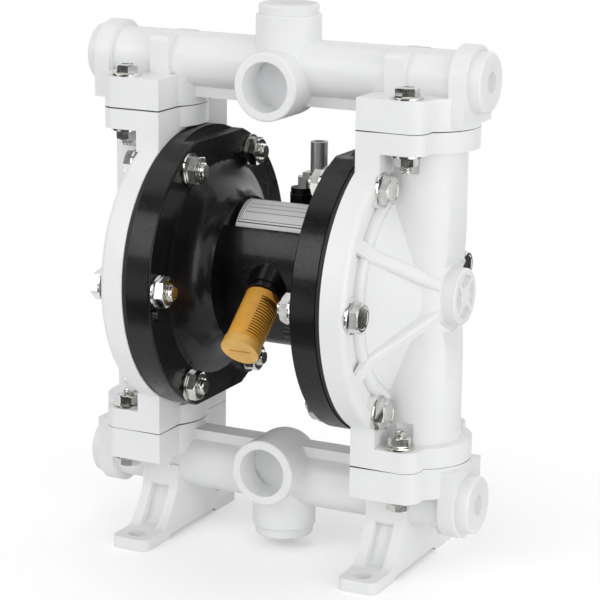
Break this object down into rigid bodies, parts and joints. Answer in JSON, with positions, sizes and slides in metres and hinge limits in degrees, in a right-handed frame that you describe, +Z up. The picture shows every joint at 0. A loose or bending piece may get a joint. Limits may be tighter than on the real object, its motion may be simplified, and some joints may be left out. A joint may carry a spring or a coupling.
{
  "type": "air operated diaphragm pump",
  "caption": "Air operated double diaphragm pump with white plastic covers and manifolds, a black metal centre, threaded front ports, an orange muffler and splayed feet.",
  "frame": {"origin": "centre of the footprint on the floor, midway between the two covers and on the plane of the shaft axis", "axes": "X along the pump shaft, the two threaded ports face -Y, Z up"},
  "size_m": [0.2088, 0.14, 0.2705],
  "materials": {
    "polypropylene_white": "moulded white polypropylene, satin",
    "plug_white": "moulded white polypropylene plug",
    "black_paint": "gloss black paint over cast aluminium",
    "plate_steel": "turned steel",
    "plate_plastic": "moulded polypropylene",
    "rubber_black": "black rubber",
    "ptfe_white": "white PTFE",
    "seat_plastic": "turned polypropylene",
    "bush_plastic": "acetal bush",
    "sleeve_brass": "turned brass",
    "spool_aluminium": "hard anodised aluminium",
    "shaft_steel": "ground stainless steel",
    "hardware_steel": "plated steel fasteners",
    "nickel": "nickel plated brass",
    "muffler_orange": "moulded orange plastic",
    "plate_label": "printed foil plate, bare"
  },
  "bodies": {
    "housing": {"fluid_cover_left": "polypropylene_white", "air_casing_left": "black_paint", "backup_diaphragm_rim_left": "rubber_black", "overlay_diaphragm_rim_left": "ptfe_white", "valve_seat_suction_left": "seat_plastic", "valve_seat_discharge_left": "seat_plastic", "fluid_cover_right": "polypropylene_white", "air_casing_right": "black_paint", "backup_diaphragm_rim_right": "rubber_black", "overlay_diaphragm_rim_right": "ptfe_white", "valve_seat_suction_right": "seat_plastic", "valve_seat_discharge_right": "seat_plastic", "seat_sealing_rings": "rubber_black", "suction_manifold": "polypropylene_white", "suction_end_plugs": "plug_white", "suction_boss_plug": "plug_white", "suction_port_disc": "plug_white", "discharge_manifold": "polypropylene_white", "discharge_end_plugs": "plug_white", "discharge_boss_plug": "plug_white", "discharge_port_disc": "plug_white", "centre_block": "black_paint", "shaft_bushes": "bush_plastic", "casing_screws": "hardware_steel", "air_valve_sleeve": "sleeve_brass", "muffler_body": "muffler_orange", "muffler_cap": "muffler_orange", "inlet_adaptor": "black_paint", "inlet_elbow": "nickel", "name_plate": "plate_label", "flange_bolts": "hardware_steel", "flange_nuts": "hardware_steel", "flange_washers": "hardware_steel", "manifold_bolts": "hardware_steel", "manifold_nuts": "hardware_steel", "manifold_washers": "hardware_steel"},
    "shaft_assembly": {"main_shaft": "shaft_steel", "inner_plate_left": "plate_steel", "outer_plate_left": "plate_plastic", "backup_diaphragm_left": "rubber_black", "overlay_diaphragm_left": "ptfe_white", "inner_plate_right": "plate_steel", "outer_plate_right": "plate_plastic", "backup_diaphragm_right": "rubber_black", "overlay_diaphragm_right": "ptfe_white"},
    "spool": {"air_valve_spool": "spool_aluminium"},
    "pilot": {"pilot_rod": "hardware_steel"},
    "ball_suction_left": {"check_ball_suction_left": "ptfe_white"},
    "ball_suction_right": {"check_ball_suction_right": "ptfe_white"},
    "ball_discharge_left": {"check_ball_discharge_left": "ptfe_white"},
    "ball_discharge_right": {"check_ball_discharge_right": "ptfe_white"}
  },
  "joints": [
    {"name": "shaft_slide", "type": "slide", "parent": "housing", "child": "shaft_assembly", "axis": [1, 0, 0], "range_m": [-0.005, 0.005]},
    {"name": "spool_slide", "type": "slide", "parent": "housing", "child": "spool", "axis": [1, 0, 0], "range_m": [-0.004, 0.004]},
    {"name": "pilot_slide", "type": "slide", "parent": "housing", "child": "pilot", "axis": [1, 0, 0], "range_m": [-0.002, 0.002]},
    {"name": "ball_lift_suction_left", "type": "slide", "parent": "housing", "child": "ball_suction_left", "axis": [0, 0, 1], "range_m": [0, 0.0045]},
    {"name": "ball_lift_suction_right", "type": "slide", "parent": "housing", "child": "ball_suction_right", "axis": [0, 0, 1], "range_m": [0, 0.0045]},
    {"name": "ball_lift_discharge_left", "type": "slide", "parent": "housing", "child": "ball_discharge_left", "axis": [0, 0, 1], "range_m": [0, 0.0045]},
    {"name": "ball_lift_discharge_right", "type": "slide", "parent": "housing", "child": "ball_discharge_right", "axis": [0, 0, 1], "range_m": [0, 0.0045]}
  ],
  "couplings": [
    {"joint": "pilot_slide", "follows": "shaft_slide", "ratio": 0.4}
  ]
}
